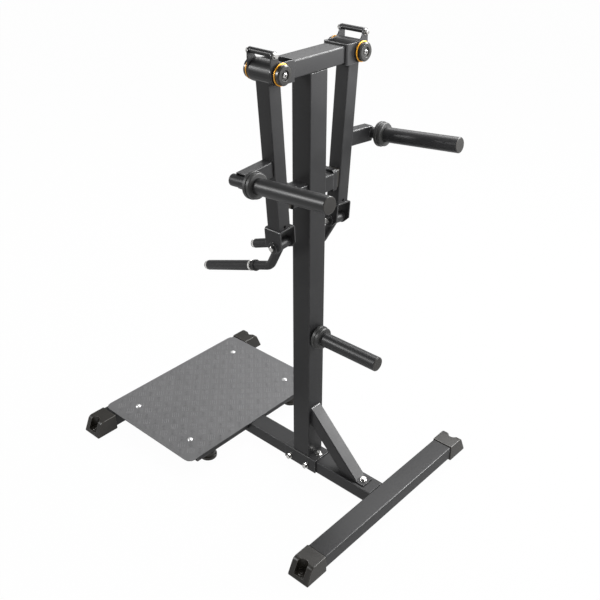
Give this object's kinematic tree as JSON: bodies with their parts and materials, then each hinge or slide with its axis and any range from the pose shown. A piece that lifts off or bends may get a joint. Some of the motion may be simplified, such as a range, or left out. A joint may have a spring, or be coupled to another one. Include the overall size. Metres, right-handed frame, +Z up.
{
  "type": "standing lateral raise machine",
  "caption": "Upright frame on an H-shaped base with a tread platform; hinged arms with weight sleeves and swinging handles for raising the arms sideways.",
  "frame": {"origin": "middle of the footprint at floor level", "axes": "+X towards the front crossbar and the weight sleeves, +Y towards the right arm, +Z up"},
  "size_m": [1.185, 0.914, 1.5782],
  "materials": {
    "powder_coat": "fine textured dark grey powder coat",
    "tread_plate": "embossed anti-slip sheet with grey powder coat",
    "rubber": "dull moulded rubber",
    "black_plastic": "satin black moulding",
    "sleeve_black": "semi-gloss black",
    "grip_black": "dull black grip",
    "gold_ring": "golden orange ring",
    "bright_steel": "bright plated steel",
    "bronze": "plain bearing bronze"
  },
  "bodies": {
    "frame": {"front_crossbar": "powder_coat", "rear_crossbar": "powder_coat", "centre_beam": "powder_coat", "column": "powder_coat", "column_saddle": "powder_coat", "diagonal_brace": "powder_coat", "top_beam": "powder_coat", "storage_pin": "powder_coat", "platform_cross_member_left": "powder_coat", "platform_cross_member_right": "powder_coat", "platform_rail_left": "powder_coat", "platform_rail_right": "powder_coat", "stop_arm_left": "powder_coat", "stop_arm_right": "powder_coat", "pivot_bracket_left": "powder_coat", "pivot_bracket_right": "powder_coat", "upper_stop_rod_left": "powder_coat", "upper_stop_rod_right": "powder_coat", "platform_plate": "tread_plate", "foot_cap_front_left": "rubber", "foot_cap_front_right": "rubber", "foot_cap_rear_left": "rubber", "foot_cap_rear_right": "rubber", "platform_foot_left": "rubber", "platform_foot_right": "rubber", "stop_bumper_left": "rubber", "stop_bumper_right": "rubber", "plate_end_cap_storage": "rubber", "bearing_cap_front_left": "black_plastic", "bearing_cap_front_right": "black_plastic", "bearing_cap_rear_left": "black_plastic", "bearing_cap_rear_right": "black_plastic", "plate_collar_storage": "black_plastic", "plate_sleeve_storage": "sleeve_black", "bearing_ring_front_left": "gold_ring", "bearing_ring_front_right": "gold_ring", "bearing_ring_rear_left": "gold_ring", "bearing_ring_rear_right": "gold_ring", "pivot_shaft_left": "bright_steel", "pivot_shaft_right": "bright_steel"},
    "left_arm": {"arm_left": "powder_coat", "hub_bush_left": "bronze", "outrigger_left": "powder_coat", "plate_collar_left": "black_plastic", "plate_sleeve_left": "sleeve_black", "plate_end_cap_left": "rubber", "handle_clevis_left": "powder_coat", "handle_bolt_left": "bright_steel"},
    "left_handle": {"handle_left": "powder_coat", "grip_left": "grip_black"},
    "right_arm": {"arm_right": "powder_coat", "hub_bush_right": "bronze", "outrigger_right": "powder_coat", "plate_collar_right": "black_plastic", "plate_sleeve_right": "sleeve_black", "plate_end_cap_right": "rubber", "handle_clevis_right": "powder_coat", "handle_bolt_right": "bright_steel"},
    "right_handle": {"handle_right": "powder_coat", "grip_right": "grip_black"}
  },
  "joints": [
    {"name": "left_arm_swing", "type": "hinge", "parent": "frame", "child": "left_arm", "pos_m": [0.1875, -0.1785, 1.513], "axis": [-1, 0, 0], "range_deg": [0, 130]},
    {"name": "right_arm_swing", "type": "hinge", "parent": "frame", "child": "right_arm", "pos_m": [0.1875, 0.1785, 1.513], "axis": [1, 0, 0], "range_deg": [0, 130]},
    {"name": "left_handle_swing", "type": "hinge", "parent": "left_arm", "child": "left_handle", "pos_m": [0.1875, -0.13215, 0.96595], "axis": [0, 0.9969, 0.079], "range_deg": [-50, 108]},
    {"name": "right_handle_swing", "type": "hinge", "parent": "right_arm", "child": "right_handle", "pos_m": [0.1875, 0.13215, 0.96595], "axis": [0, 0.9969, -0.079], "range_deg": [-50, 108]}
  ]
}
